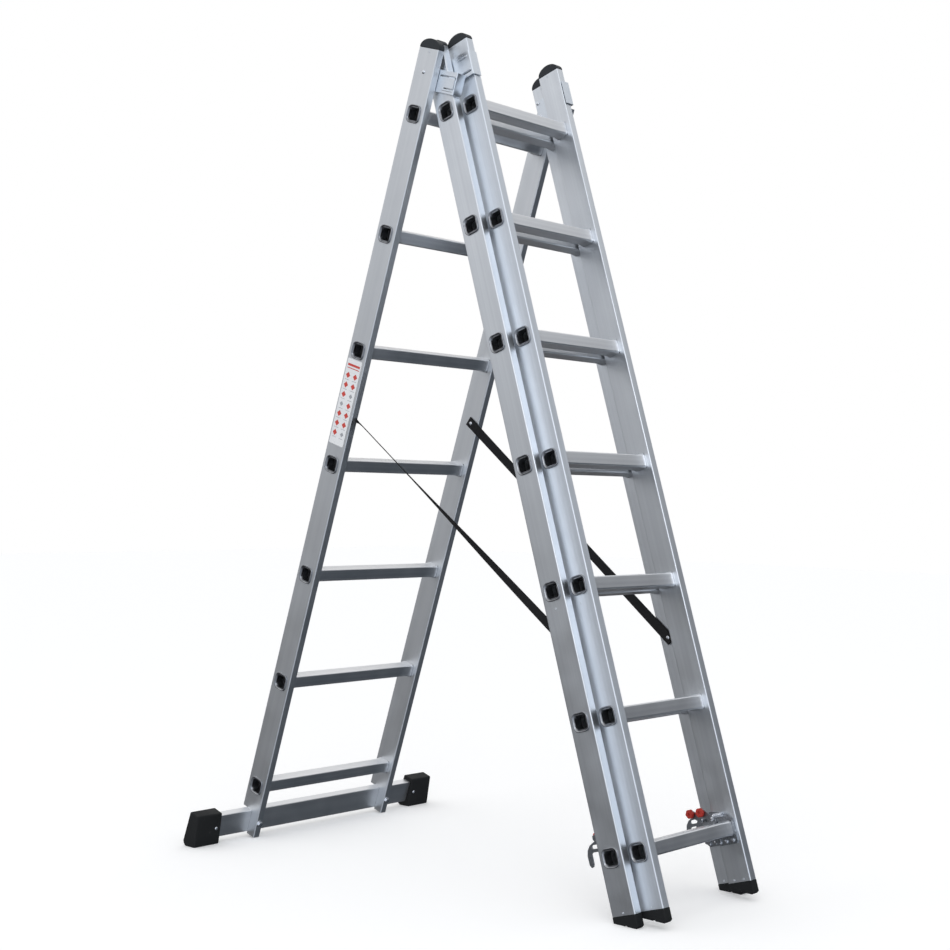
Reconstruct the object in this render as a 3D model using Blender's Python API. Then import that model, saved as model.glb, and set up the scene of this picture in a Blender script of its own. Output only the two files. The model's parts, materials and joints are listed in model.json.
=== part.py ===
"""Three-section aluminium combination ladder, standing as an A-frame.

Metres, +Z up, +X along the rungs, the climbing side (front section) toward -Y.
Every section is drawn in its own frame: origin at the middle of its top rung, local Z up along
the stiles and local -Y toward the climbing side. The middle section turns about the pivot under
the top brackets, and the front section slides on the middle one.
"""
import math

import bmesh
import bpy
from mathutils import Matrix, Vector

# ---- driving dimensions -------------------------------------------------------------------
RUNG_PITCH = 0.280          # distance between rungs along the stile
RUNG_COUNT = 7
LEAN = math.radians(17.4)   # lean of both legs of the A from the vertical
NEST = 0.049                # distance between the planes of two nested sections
PIVOT_BACK = NEST / 2       # pivot behind the middle section's plane, ahead of the rear one's
PIVOT_UP = 0.0495           # pivot above the top rung
TOP_RUNG_HEIGHT = 1.735     # height of the middle and rear sections' top rungs
GAP = 0.0003                # clearance between touching pieces

STILE_WALL = 0.0018
STILE_CHAMFER = 0.0018
STILE_FOOT = 1.796          # top rung to the cut end of the stile
REAR = {"width": 0.4640, "flange": 0.0195, "depth": 0.063, "top": 0.1495, "foot": 1.807}
MID = {"width": 0.4110, "flange": 0.0220, "depth": 0.060, "top": 0.1530, "foot": STILE_FOOT}
FRONT = {"width": 0.3490, "flange": 0.0220, "depth": 0.060, "top": 0.1530, "foot": STILE_FOOT}

RUNG_SIZE = 0.030           # rounded square tube
RUNG_WALL = 0.0015
RUNG_CHAMFER = 0.22         # share of the half size cut off at each corner
COLLAR_SIZE = 0.0415        # flared end outside the stile
COLLAR_THICK = 0.0030
MOUTH_SIZE = 0.0335         # opening of the flared end
BEAD_SIZE = 0.0356          # swelling against the inner web
BEAD_LENGTH = 0.008
BEAD_TAPER = 0.006

BAR_HALF_LENGTH = 0.395
BAR_TOP = -1.745            # local heights in the rear section
BAR_BOTTOM = -1.803
BAR_FRONT = -0.0044
BAR_DEPTH = 0.022
BAR_WALL = 0.002
SHOE_INNER = 0.331
SHOE_OUTER = 0.407
SHOE_GRIP = 0.0045          # rubber in front of and behind the bar
SHOE_RISE = 0.010           # rubber above the bar
SHOE_TOE = -0.0205          # front edge of the sole, local y
SHOE_HEEL = 0.0140          # back edge of the sole, local y
SHOE_ROUND = (0.012, 0.009)     # rounding of the heel, back and up
BOLT_HEIGHT = -1.771
BOLT_RADIUS = 0.004
BOLT_HEAD_RADIUS = 0.0075
BOLT_HEAD_HEIGHT = 0.0052
BOLT_TAIL = 0.006           # bolt end past the bar

CAP_HEIGHT = 0.0225
CAP_STEPS = 10              # facets of the domed top
PLUG_LENGTH = 0.012
FOOT_TOE = 0.006            # slope at the front edge of a foot's sole
BRACKET_SHEET = 0.002
BRACKET_BEND = 0.0012
LIP_WIDTH = 0.027
HINGE_BRACKET = {"back": 0.012, "front": -0.0880, "low": 0.060, "high": 0.110}
GUIDE_BRACKET = {"back": 0.026, "front": -0.0825, "low": 0.060, "high": 0.119}
HOOK_PLATE = 0.0035
HOOK_SLOT = {"y": 0.0485, "z": 0.0265, "half": 0.0090, "radius": 0.0040}
LATCH_PLATE = 0.003
KNOB_RADIUS = 0.0095
KNOB_LENGTH = 0.0095
LATCH_PIVOT = (0.027, 0.026)    # behind and above the centre of the bottom rung
KNOB_CENTRE = (0.0515, 0.0445)

STRAP_WIDTH = 0.025
STRAP_THICK = 0.0016
STRAP_REAR = (0.2105, -0.008, -0.715)   # half spacing, local y, local z on the rear section
STRAP_MID = (0.1800, 0.006, -1.241)     # the same on the middle section
STRAP_TAIL = 0.012

SIDES = (("left", -1), ("right", 1))
BOTTOM_RUNG = -RUNG_PITCH * (RUNG_COUNT - 1)


# ---- materials ----------------------------------------------------------------------------
def material(name, colour, roughness, metallic):
    mat = bpy.data.materials.get(name)
    if mat is None:
        mat = bpy.data.materials.new(name)
        mat.use_nodes = True
        shader = mat.node_tree.nodes["Principled BSDF"]
        shader.inputs["Base Color"].default_value = (*colour, 1.0)
        shader.inputs["Roughness"].default_value = roughness
        shader.inputs["Metallic"].default_value = metallic
    return mat


def extruded_aluminium():
    return material("extruded_aluminium", (0.72, 0.74, 0.76), 0.32, 1.0)


def zinc_steel():
    return material("zinc_steel", (0.60, 0.62, 0.65), 0.38, 1.0)


def cap_plastic():
    return material("cap_plastic", (0.030, 0.034, 0.038), 0.55, 0.0)


def foot_rubber():
    return material("foot_rubber", (0.014, 0.015, 0.016), 0.75, 0.0)


def knob_plastic():
    return material("knob_plastic", (0.42, 0.035, 0.025), 0.45, 0.0)


def webbing():
    return material("webbing", (0.018, 0.018, 0.020), 0.85, 0.0)


# ---- shared making ------------------------------------------------------------------------
def add_object(name, mesh, parent, mat, location=(0.0, 0.0, 0.0)):
    obj = bpy.data.objects.new(name, mesh)
    bpy.context.scene.collection.objects.link(obj)
    obj.parent = parent
    obj.location = location
    obj.data.materials.append(mat)
    return obj


def mesh_from(bm, name):
    bmesh.ops.remove_doubles(bm, verts=bm.verts, dist=1e-7)
    bmesh.ops.recalc_face_normals(bm, faces=bm.faces)
    mesh = bpy.data.meshes.new(name)
    bm.to_mesh(mesh)
    bm.free()
    return mesh


def chamfered_rectangle(half_a, half_b, chamfer):
    """Eight corners of a rectangle with its corners cut, counter-clockwise."""
    a, b, c = half_a, half_b, chamfer
    return [(a, -b + c), (a, b - c), (a - c, b), (-a + c, b),
            (-a, b - c), (-a, -b + c), (-a + c, -b), (a - c, -b)]


def loft_tube(name, rings, closed):
    """Skin a list of equal rings of points; closed joins the last ring to the first."""
    bm = bmesh.new()
    made = [[bm.verts.new(point) for point in ring] for ring in rings]
    pairs = list(zip(made, made[1:]))
    if closed:
        pairs.append((made[-1], made[0]))
    for first, second in pairs:
        for i in range(len(first)):
            j = (i + 1) % len(first)
            bm.faces.new((first[i], first[j], second[j], second[i]))
    if not closed:
        bm.faces.new(made[0])
        bm.faces.new(list(reversed(made[-1])))
    return mesh_from(bm, name)


def extrude_along_x(name, outline, x_low, x_high):
    """A plate or block with its outline in (y, z), from x_low to x_high."""
    rings = [[(x, y, z) for y, z in outline] for x in (x_low, x_high)]
    return loft_tube(name, rings, closed=False)


def add_box(bm, low, high):
    centre = [(a + b) / 2 for a, b in zip(low, high)]
    size = [b - a for a, b in zip(low, high)]
    matrix = Matrix.Translation(centre) @ Matrix.Diagonal((*size, 1.0))
    bmesh.ops.create_cube(bm, size=1.0, matrix=matrix)


def add_rod(bm, centre, axis, radius, length, sides):
    turn = Vector((0, 0, 1)).rotation_difference(Vector(axis)).to_matrix().to_4x4()
    bmesh.ops.create_cone(bm, cap_ends=True, segments=sides, radius1=radius, radius2=radius,
                          depth=length, matrix=Matrix.Translation(centre) @ turn)


def cut_with(obj, bm, name):
    """Take the shapes in bm out of obj."""
    cutter = bpy.data.objects.new(name, mesh_from(bm, name))
    bpy.context.scene.collection.objects.link(cutter)
    cutter.parent = obj
    cutter.hide_render = True
    cutter.display_type = "WIRE"
    modifier = obj.modifiers.new(name, "BOOLEAN")
    modifier.operation = "DIFFERENCE"
    modifier.solver = "EXACT"
    modifier.object = cutter


# ---- section frames -----------------------------------------------------------------------
def section_point(lean, back, y, z):
    """World (y, z), from the pivot, of a point in a section that leans by lean."""
    py, pz = y + back, z - PIVOT_UP
    return (py * math.cos(lean) - pz * math.sin(lean), py * math.sin(lean) + pz * math.cos(lean))


def pivot_place():
    """Pivot position that puts the feet on z = 0 and the outer box about y = 0."""
    height = TOP_RUNG_HEIGHT - section_point(-LEAN, -PIVOT_BACK, 0.0, 0.0)[1]
    foot_points = [section_point(-LEAN, -PIVOT_BACK - NEST, y, z - STILE_FOOT)
                   for y, z in foot_outline(FRONT)]
    shoe_points = [section_point(LEAN, PIVOT_BACK, y, z) for y, z in shoe_outline()]
    front_edge = min(y for y, _ in foot_points)
    rear_edge = max(y for y, _ in shoe_points)
    return Vector((0.0, -(front_edge + rear_edge) / 2, height))


def empty(name, parent, location, lean=0.0):
    obj = bpy.data.objects.new(name, None)
    bpy.context.scene.collection.objects.link(obj)
    obj.parent = parent
    obj.location = location
    obj.rotation_euler = (lean, 0.0, 0.0)
    return obj


# ---- stiles and rungs ---------------------------------------------------------------------
def stile(section, name, parent, side):
    """Rectangular hollow extrusion, open at both ends, with square rung holes in both webs."""
    centre = side * (section["width"] - section["flange"]) / 2
    half_x, half_y = section["flange"] / 2, section["depth"] / 2
    outer = chamfered_rectangle(half_x, half_y, STILE_CHAMFER)
    inner = chamfered_rectangle(half_x - STILE_WALL, half_y - STILE_WALL, STILE_CHAMFER / 2)
    rings = [[(centre + x, y, z) for x, y in outline]
             for outline, z in ((outer, section["top"]), (outer, -section["foot"]),
                                (inner, -section["foot"]), (inner, section["top"]))]
    obj = add_object(name, loft_tube(name, rings, closed=True), parent, extruded_aluminium())
    holes = bmesh.new()
    reach = RUNG_SIZE / 2 + GAP
    for i in range(RUNG_COUNT):
        z = -RUNG_PITCH * i
        add_box(holes, (centre - section["flange"], -reach, z - reach),
                (centre + section["flange"], reach, z + reach))
    cut_with(obj, holes, name + "_rung_holes")
    return obj


def square_ring(x, size, cut=RUNG_CHAMFER):
    half = size / 2
    return [(x, y, z) for y, z in chamfered_rectangle(half, half, half * cut)]


def rung(section, name, parent, z):
    """Hollow square tube, swollen inside each stile and flared over outside it."""
    web = section["width"] / 2 + GAP
    inner_web = section["width"] / 2 - section["flange"] - GAP
    half = [(inner_web - BEAD_LENGTH - BEAD_TAPER, RUNG_SIZE), (inner_web - BEAD_LENGTH, BEAD_SIZE),
            (inner_web, BEAD_SIZE), (inner_web, RUNG_SIZE), (web, RUNG_SIZE), (web, COLLAR_SIZE),
            (web + COLLAR_THICK, COLLAR_SIZE - COLLAR_THICK), (web + COLLAR_THICK, MOUTH_SIZE),
            (web - COLLAR_THICK, RUNG_SIZE - 2 * RUNG_WALL)]
    profile = half + [(-x, size) for x, size in reversed(half)]
    rings = [square_ring(x, size) for x, size in profile]
    add_object(name, loft_tube(name, rings, closed=True), parent, extruded_aluminium(),
               (0.0, 0.0, z))


def rungs(section, label, parent):
    for i in range(RUNG_COUNT):
        rung(section, f"{label}_rung_{i + 1}", parent, -RUNG_PITCH * i)


# ---- caps, feet and shoes -----------------------------------------------------------------
def plug_onto(mesh, facing_z):
    """Draw a plug that fills the stile out of the flat end face that looks along facing_z."""
    bm = bmesh.new()
    bm.from_mesh(mesh)
    face = max(bm.faces, key=lambda f: f.normal.z * facing_z * f.calc_area())
    bmesh.ops.inset_region(bm, faces=[face], thickness=STILE_WALL + 3 * GAP, use_even_offset=True)
    moved = bmesh.ops.extrude_face_region(bm, geom=[face])
    bmesh.ops.delete(bm, geom=[face], context="FACES_ONLY")
    points = [v for v in moved["geom"] if isinstance(v, bmesh.types.BMVert)]
    bmesh.ops.translate(bm, verts=points, vec=(0.0, 0.0, facing_z * PLUG_LENGTH))
    bmesh.ops.recalc_face_normals(bm, faces=bm.faces)
    bm.to_mesh(mesh)
    bm.free()


def top_cap(section, name, parent, side):
    """Moulded cap with a domed top, pressed into the stile's upper end."""
    half_y = section["depth"] / 2
    dome = [(half_y * math.cos(math.pi * i / CAP_STEPS),
             CAP_HEIGHT * math.sin(math.pi * i / CAP_STEPS)) for i in range(CAP_STEPS + 1)]
    outer = side * section["width"] / 2
    inner = side * (section["width"] / 2 - section["flange"])
    outline = [(y, z + GAP) for y, z in dome]
    mesh = extrude_along_x(name, outline, min(outer, inner), max(outer, inner))
    plug_onto(mesh, -1)
    add_object(name, mesh, parent, cap_plastic(), (0.0, 0.0, section["top"]))


def foot_outline(section):
    """Wedge under the cut end of a stile: its sole lies level when the section leans."""
    half_y = section["depth"] / 2
    slope = math.tan(LEAN)
    level = (STILE_FOOT * math.cos(LEAN) - TOP_RUNG_HEIGHT) / math.cos(LEAN)
    toe = half_y - FOOT_TOE
    return [(half_y, -GAP), (half_y, level + slope * half_y), (-toe, level - slope * toe),
            (-half_y, level - slope * half_y + FOOT_TOE), (-half_y, -GAP)]


def foot(section, name, parent, side):
    outer = side * section["width"] / 2
    inner = side * (section["width"] / 2 - section["flange"])
    mesh = extrude_along_x(name, foot_outline(section), min(outer, inner), max(outer, inner))
    plug_onto(mesh, 1)
    add_object(name, mesh, parent, foot_rubber(), (0.0, 0.0, -section["foot"]))


def stabiliser_bar(parent):
    """Flat box tube behind the stiles' feet, with a bolt hole at each stile."""
    middle_z = (BAR_TOP + BAR_BOTTOM) / 2
    middle_y = BAR_FRONT + BAR_DEPTH / 2
    half_z = (BAR_TOP - BAR_BOTTOM) / 2
    outer = chamfered_rectangle(BAR_DEPTH / 2, half_z, STILE_CHAMFER)
    inner = chamfered_rectangle(BAR_DEPTH / 2 - BAR_WALL, half_z - BAR_WALL, STILE_CHAMFER / 2)
    rings = [[(x, middle_y + y, middle_z + z) for y, z in outline]
             for outline, x in ((outer, BAR_HALF_LENGTH), (outer, -BAR_HALF_LENGTH),
                                (inner, -BAR_HALF_LENGTH), (inner, BAR_HALF_LENGTH))]
    mesh = loft_tube("stabiliser_bar", rings, closed=True)
    obj = add_object("stabiliser_bar", mesh, parent, extruded_aluminium())
    holes = bmesh.new()
    for _, side in SIDES:
        add_rod(holes, (side * bolt_x(), middle_y, BOLT_HEIGHT), (0, 1, 0), BOLT_RADIUS + GAP,
                2 * BAR_DEPTH, 12)
    cut_with(obj, holes, "stabiliser_bar_bolt_holes")


def bolt_x():
    return (REAR["width"] - REAR["flange"]) / 2


def notch_for_bar(obj, side):
    """The stile's back is cut away for the bar; its front wall carries the bolt."""
    tools = bmesh.new()
    centre = side * bolt_x()
    add_box(tools, (centre - REAR["flange"], BAR_FRONT - GAP, BAR_BOTTOM - BAR_DEPTH),
            (centre + REAR["flange"], REAR["depth"], BAR_TOP + GAP))
    add_rod(tools, (centre, -REAR["depth"] / 2, BOLT_HEIGHT), (0, 1, 0), BOLT_RADIUS + GAP,
            4 * STILE_WALL, 12)
    cut_with(obj, tools, obj.name + "_bar_notch")


def bar_bolt(name, parent, side):
    """Hexagon-head bolt through the stile's front wall and the bar."""
    start = -REAR["depth"] / 2 - GAP
    stations = ((start - BOLT_HEAD_HEIGHT, BOLT_HEAD_RADIUS), (start, BOLT_HEAD_RADIUS),
                (start, BOLT_RADIUS), (BAR_FRONT + BAR_DEPTH + BOLT_TAIL, BOLT_RADIUS))
    rings = [[(side * bolt_x() + radius * math.cos(math.pi * i / 6), y,
               BOLT_HEIGHT + radius * math.sin(math.pi * i / 6)) for i in range(12)]
             for y, radius in stations]
    add_object(name, loft_tube(name, rings, closed=False), parent, zinc_steel())


def shoe_outline():
    """End view of a shoe, (y, z): its sole lies level when the rear section leans."""
    front, back = BAR_FRONT - SHOE_GRIP, BAR_FRONT + BAR_DEPTH + SHOE_GRIP
    slope = math.tan(LEAN)
    sole = -TOP_RUNG_HEIGHT / math.cos(LEAN)
    heel = sole - slope * SHOE_HEEL
    return [(back, BAR_TOP + SHOE_RISE), (front, BAR_TOP + SHOE_RISE),
            (SHOE_TOE, sole - slope * SHOE_TOE), (SHOE_HEEL, heel),
            (SHOE_HEEL + SHOE_ROUND[0], heel + SHOE_ROUND[1])]


def stabiliser_shoe(name, parent, side):
    """Moulded rubber shoe that sleeves over the end of the bar."""
    low, high = sorted((side * SHOE_INNER, side * SHOE_OUTER))
    mesh = extrude_along_x(name, shoe_outline(), low, high)
    obj = add_object(name, mesh, parent, foot_rubber())
    pocket = bmesh.new()
    low, high = sorted((side * (SHOE_INNER - BAR_DEPTH), side * (BAR_HALF_LENGTH + GAP)))
    add_box(pocket, (low, BAR_FRONT - GAP, BAR_BOTTOM - GAP),
            (high, BAR_FRONT + BAR_DEPTH + GAP, BAR_TOP + GAP))
    cut_with(obj, pocket, name + "_pocket")


# ---- brackets -----------------------------------------------------------------------------
def stile_bracket(name, parent, side, plate_x, shape):
    """Bent sheet on a stile's inner web: a plate beside the next section's stile, and a lip
    round that stile's front."""
    inner = plate_x - BRACKET_SHEET
    lip = plate_x - LIP_WIDTH
    outline = [(plate_x, shape["back"]), (plate_x, shape["front"] + BRACKET_BEND),
               (plate_x - BRACKET_BEND, shape["front"]), (lip, shape["front"]),
               (lip, shape["front"] + BRACKET_SHEET), (inner, shape["front"] + BRACKET_SHEET),
               (inner, shape["back"])]
    rings = [[(x * side, y, z) for x, y in outline] for z in (shape["low"], shape["high"])]
    add_object(name, loft_tube(name, rings, closed=False), parent, zinc_steel())


# ---- hooks, latches and knobs -------------------------------------------------------------
def hook_outline():
    """Side view (y, z) about the bottom rung's centre: a plate round its own rung, with an arm
    arched over the next section's rung and down behind it."""
    reach = NEST + RUNG_SIZE / 2
    seat = RUNG_SIZE / 2 + 2 * GAP
    return [(-0.0230, -0.0290), (-0.0190, -0.0340), (0.0240, -0.0340), (0.0320, -0.0270),
            (0.0320, seat - 0.003), (0.0350, seat), (reach - 0.002, seat),
            (reach + 0.0015, seat - 0.003), (reach + 0.0015, -0.0080), (reach + 0.0040, -0.0135),
            (reach + 0.0090, -0.0145), (reach + 0.0130, -0.0090), (reach + 0.0135, 0.0100),
            (reach + 0.0100, 0.0220), (reach + 0.0020, 0.0310), (reach - 0.0140, 0.0385),
            (0.0280, 0.0420), (0.0080, 0.0380), (-0.0120, 0.0300), (-0.0230, 0.0190)]


def hook_slot():
    """Outline (y, z) of the round-ended slot behind the arm, where the latch spring shows."""
    steps = 6
    points = []
    for end, start in ((1, -90), (-1, 90)):
        for i in range(steps + 1):
            turn = math.radians(start + 180 * i / steps)
            points.append((HOOK_SLOT["y"] + end * HOOK_SLOT["half"] + HOOK_SLOT["radius"] * math.cos(turn),
                           HOOK_SLOT["z"] + HOOK_SLOT["radius"] * math.sin(turn)))
    return points


def rung_hook(section, name, parent, side):
    """Pressed steel hook plate against the inner web, threaded on the bottom rung."""
    outer = section["width"] / 2 - section["flange"] - GAP
    low, high = sorted((side * outer, side * (outer - HOOK_PLATE)))
    mesh = extrude_along_x(name, hook_outline(), low, high)
    obj = add_object(name, mesh, parent, zinc_steel(), (0.0, 0.0, BOTTOM_RUNG))
    holes = bmesh.new()
    reach = BEAD_SIZE / 2 + GAP
    low, high = low - HOOK_PLATE, high + HOOK_PLATE
    add_box(holes, (low, -reach, -reach), (high, reach, reach))
    near, far = [[holes.verts.new((x, y, z)) for y, z in hook_slot()] for x in (low, high)]
    for i in range(len(near)):
        j = (i + 1) % len(near)
        holes.faces.new((near[i], near[j], far[j], far[i]))
    holes.faces.new(near)
    holes.faces.new(list(reversed(far)))
    cut_with(obj, holes, name + "_holes")


def latch_outline():
    """Side view (y, z) about the bottom rung's centre: a lever with a knob arm above its pivot
    and a toe that swings under the hooked rung."""
    return [(0.0188, -0.0270), (0.0310, -0.0270), (0.0334, -0.0245), (0.0334, -0.0200),
            (0.0248, -0.0200), (0.0248, 0.0120), (0.0320, 0.0200), (0.0520, 0.0355),
            (0.0580, 0.0405), (0.0575, 0.0485), (0.0505, 0.0515), (0.0440, 0.0485),
            (0.0300, 0.0360), (0.0210, 0.0330), (0.0188, 0.0260)]


def latch(section, name, parent, side):
    """Flat lever on the inner face of the hook plate; its origin is on its pivot."""
    outer = section["width"] / 2 - section["flange"] - HOOK_PLATE - 2 * GAP
    low, high = sorted((side * outer, side * (outer - LATCH_PLATE)))
    outline = [(y - LATCH_PIVOT[0], z - LATCH_PIVOT[1]) for y, z in latch_outline()]
    place = (0.0, LATCH_PIVOT[0], BOTTOM_RUNG + LATCH_PIVOT[1])
    obj = add_object(name, extrude_along_x(name, outline, low, high), parent, zinc_steel(), place)
    knob(name.replace("latch", "knob"), obj, side, outer - LATCH_PLATE - GAP)


def knob(name, parent, side, outer):
    """Six-sided grip on the latch's upper arm, with its axis along the rungs."""
    offset = (KNOB_CENTRE[0] - LATCH_PIVOT[0], KNOB_CENTRE[1] - LATCH_PIVOT[1])
    stations = ((outer, 0.70), (outer - 0.0020, 1.0), (outer - KNOB_LENGTH + 0.0015, 1.0),
                (outer - KNOB_LENGTH, 0.82))
    rings = [[(side * x, offset[0] + KNOB_RADIUS * share * math.cos(math.pi * i / 6),
               offset[1] + KNOB_RADIUS * share * math.sin(math.pi * i / 6)) for i in range(12)]
             for x, share in stations]
    add_object(name, loft_tube(name, rings, closed=False), parent, knob_plastic())


# ---- restraint straps ---------------------------------------------------------------------
def strap(name, root, rear_frame, mid_frame, side):
    """Flat webbing pulled straight between the rear and middle stiles' inner webs."""
    bpy.context.view_layer.update()
    start = rear_frame.matrix_world @ Vector((side * STRAP_REAR[0], *STRAP_REAR[1:]))
    end = mid_frame.matrix_world @ Vector((side * STRAP_MID[0], *STRAP_MID[1:]))
    along = (end - start).normalized()
    across = along.cross(Vector((1.0, 0.0, 0.0))).normalized()
    thick = along.cross(across).normalized()
    start = start - along * STRAP_TAIL
    end = end + along * STRAP_TAIL
    rings = []
    for centre in (start, end):
        rings.append([centre + across * a * STRAP_WIDTH / 2 + thick * b * STRAP_THICK / 2
                      for a, b in ((-1, -1), (1, -1), (1, 1), (-1, 1))])
    mesh = loft_tube(name, [[tuple(p - root.location) for p in ring] for ring in rings], False)
    add_object(name, mesh, root, webbing())


# ---- the three sections -------------------------------------------------------------------
def rear_section(frame):
    for word, side in SIDES:
        obj = stile(REAR, f"rear_stile_{word}", frame, side)
        notch_for_bar(obj, side)
        top_cap(REAR, f"rear_cap_{word}", frame, side)
        bar_bolt(f"bar_bolt_{word}", frame, side)
        stabiliser_shoe(f"stabiliser_shoe_{word}", frame, side)
        plate = REAR["width"] / 2 - REAR["flange"] - 2 * GAP
        stile_bracket(f"hinge_bracket_{word}", frame, side, plate, HINGE_BRACKET)
    rungs(REAR, "rear", frame)
    stabiliser_bar(frame)


def middle_section(frame):
    for word, side in SIDES:
        stile(MID, f"middle_stile_{word}", frame, side)
        top_cap(MID, f"middle_cap_{word}", frame, side)
        foot(MID, f"middle_foot_{word}", frame, side)
        plate = MID["width"] / 2 - MID["flange"] - 6 * GAP
        stile_bracket(f"guide_bracket_{word}", frame, side, plate, GUIDE_BRACKET)
        rung_hook(MID, f"middle_hook_{word}", frame, side)
        latch(MID, f"middle_latch_{word}", frame, side)
    rungs(MID, "middle", frame)


def front_section(frame):
    for word, side in SIDES:
        stile(FRONT, f"front_stile_{word}", frame, side)
        top_cap(FRONT, f"front_cap_{word}", frame, side)
        foot(FRONT, f"front_foot_{word}", frame, side)
        rung_hook(FRONT, f"front_hook_{word}", frame, side)
        latch(FRONT, f"front_latch_{word}", frame, side)
    rungs(FRONT, "front", frame)


def build():
    for obj in list(bpy.data.objects):
        bpy.data.objects.remove(obj, do_unlink=True)
    root = empty("ladder_pivot", None, pivot_place())
    rear = empty("rear_frame", root, (0.0, 0.0, 0.0), LEAN)
    rear_top = empty("rear_top_rung", rear, (0.0, PIVOT_BACK, -PIVOT_UP))
    fold = empty("middle_fold_axis", root, (0.0, 0.0, 0.0), -LEAN)
    mid_top = empty("middle_top_rung", fold, (0.0, -PIVOT_BACK, -PIVOT_UP))
    front_slide = empty("front_slide", mid_top, (0.0, -NEST, 0.0))
    rear_section(rear_top)
    middle_section(mid_top)
    front_section(front_slide)
    for word, side in SIDES:
        strap(f"strap_{word}", root, rear_top, mid_top, side)


build()
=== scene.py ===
import json
import math

import bmesh
import bpy
from mathutils import Matrix, Vector


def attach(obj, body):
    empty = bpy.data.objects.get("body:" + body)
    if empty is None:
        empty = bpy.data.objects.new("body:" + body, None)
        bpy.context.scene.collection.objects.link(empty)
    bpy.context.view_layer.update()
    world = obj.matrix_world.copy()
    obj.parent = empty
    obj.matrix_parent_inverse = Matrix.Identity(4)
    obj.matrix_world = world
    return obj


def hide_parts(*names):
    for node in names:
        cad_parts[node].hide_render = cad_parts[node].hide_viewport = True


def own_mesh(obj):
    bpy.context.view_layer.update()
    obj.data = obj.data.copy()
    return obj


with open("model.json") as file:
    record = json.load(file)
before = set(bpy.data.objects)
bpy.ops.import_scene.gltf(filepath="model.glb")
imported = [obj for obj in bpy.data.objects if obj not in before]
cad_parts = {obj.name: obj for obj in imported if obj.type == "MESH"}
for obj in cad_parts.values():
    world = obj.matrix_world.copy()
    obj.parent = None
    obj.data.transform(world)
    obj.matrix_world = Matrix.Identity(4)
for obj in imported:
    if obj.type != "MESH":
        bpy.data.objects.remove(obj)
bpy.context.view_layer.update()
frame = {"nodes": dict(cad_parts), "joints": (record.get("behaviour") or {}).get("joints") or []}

# ==== The three sections ===================================================================
# A combination ladder of three nested sections. Each one is drawn in its own place: origin at
# the middle of its top rung, Z up the stiles and -Y toward the climbing side.
joints = {joint["name"]: joint for joint in frame["joints"]}
fold_point = Vector(joints["fold"]["pos_m"])
up_the_stile = Vector(joints["front_slide"]["axis"])
lean = math.atan2(up_the_stile.y, up_the_stile.z)
nest = 0.049
fold_above_rung = 0.0495
rung_pitch = 0.280
rung_count = 7
sides = (("left", -1), ("right", 1))


def section_place(turn, back):
    return (Matrix.Translation(fold_point) @ Matrix.Rotation(turn, 4, "X")
            @ Matrix.Translation((0.0, back, -fold_above_rung)))


rear_place = section_place(lean, nest / 2)
middle_place = section_place(-lean, -nest / 2)
front_place = middle_place @ Matrix.Translation((0.0, -nest, 0.0))
rear = {"name": "rear", "place": rear_place, "body": "rear_section", "width": 0.4640,
        "flange": 0.0195, "depth": 0.063, "top": 0.1495, "foot": 1.807}
middle = {"name": "middle", "place": middle_place, "body": "middle_section", "width": 0.4110,
          "flange": 0.0220, "depth": 0.060, "top": 0.1530, "foot": 1.796}
front = {"name": "front", "place": front_place, "body": "front_section", "width": 0.3490,
         "flange": 0.0220, "depth": 0.060, "top": 0.1530, "foot": 1.796}
sections = (rear, middle, front)

# ==== Studio ===============================================================================
# A white floor in a light tent: bright behind the camera and at the back right, darker low down
# at the front right, with one wide soft box beside the camera. The metal doesn't mirror the floor.
camera_place = Vector((-2.7722, -2.4325, 0.8705))
camera_yaw = math.radians(48.0)
camera_pitch = math.radians(0.667)
camera_roll = math.radians(1.09)
ahead = Vector((math.sin(camera_yaw) * math.cos(camera_pitch),
                math.cos(camera_yaw) * math.cos(camera_pitch), math.sin(camera_pitch)))
level_right = ahead.cross(Vector((0.0, 0.0, 1.0))).normalized()
level_up = level_right.cross(ahead)
camera_right = level_right * math.cos(camera_roll) + level_up * math.sin(camera_roll)
camera_up = level_up * math.cos(camera_roll) - level_right * math.sin(camera_roll)
camera = bpy.data.objects.new("camera", bpy.data.cameras.new("camera"))
bpy.context.scene.collection.objects.link(camera)
camera.data.lens = 59.13
camera.data.sensor_width = 36.0
camera.data.clip_end = 60.0
camera.matrix_world = Matrix.Translation(camera_place) @ Matrix(
    (camera_right, camera_up, -ahead)).transposed().to_4x4()
bpy.context.scene.camera = camera
bpy.context.scene.view_settings.view_transform = "Standard"


def new_node(tree, kind, **sockets):
    """A shader node with some of its input sockets set; a key is a socket's name."""
    node = tree.nodes.new(kind)
    for name, value in sockets.items():
        node.inputs[name.replace("_", " ")].default_value = value
    return node


def arithmetic(tree, operation, first, second):
    """One Math node; each side is an output socket or a number."""
    node = tree.nodes.new("ShaderNodeMath")
    node.operation = operation
    for socket, value in zip(node.inputs, (first, second)):
        if isinstance(value, (int, float)):
            socket.default_value = value
        else:
            tree.links.new(value, socket)
    return node.outputs["Value"]


def map_between(tree, value, low, high, start=0.3, end=0.7):
    node = new_node(tree, "ShaderNodeMapRange", From_Min=start, From_Max=end, To_Min=low, To_Max=high)
    tree.links.new(value, node.inputs["Value"])
    return node.outputs["Result"]


def blank_material(name):
    mat = bpy.data.materials.new(name)
    mat.use_nodes = True
    return mat, mat.node_tree, mat.node_tree.nodes["Principled BSDF"]


def colour_ramp(tree, stops):
    """A colour ramp over (position, colour) stops."""
    ramp = tree.nodes.new("ShaderNodeValToRGB")
    elements = ramp.color_ramp.elements
    while len(elements) < len(stops):
        elements.new(0.5)
    for element, (position, colour) in zip(elements, stops):
        element.position = position
        element.color = (*colour, 1.0)
    return ramp


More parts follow.
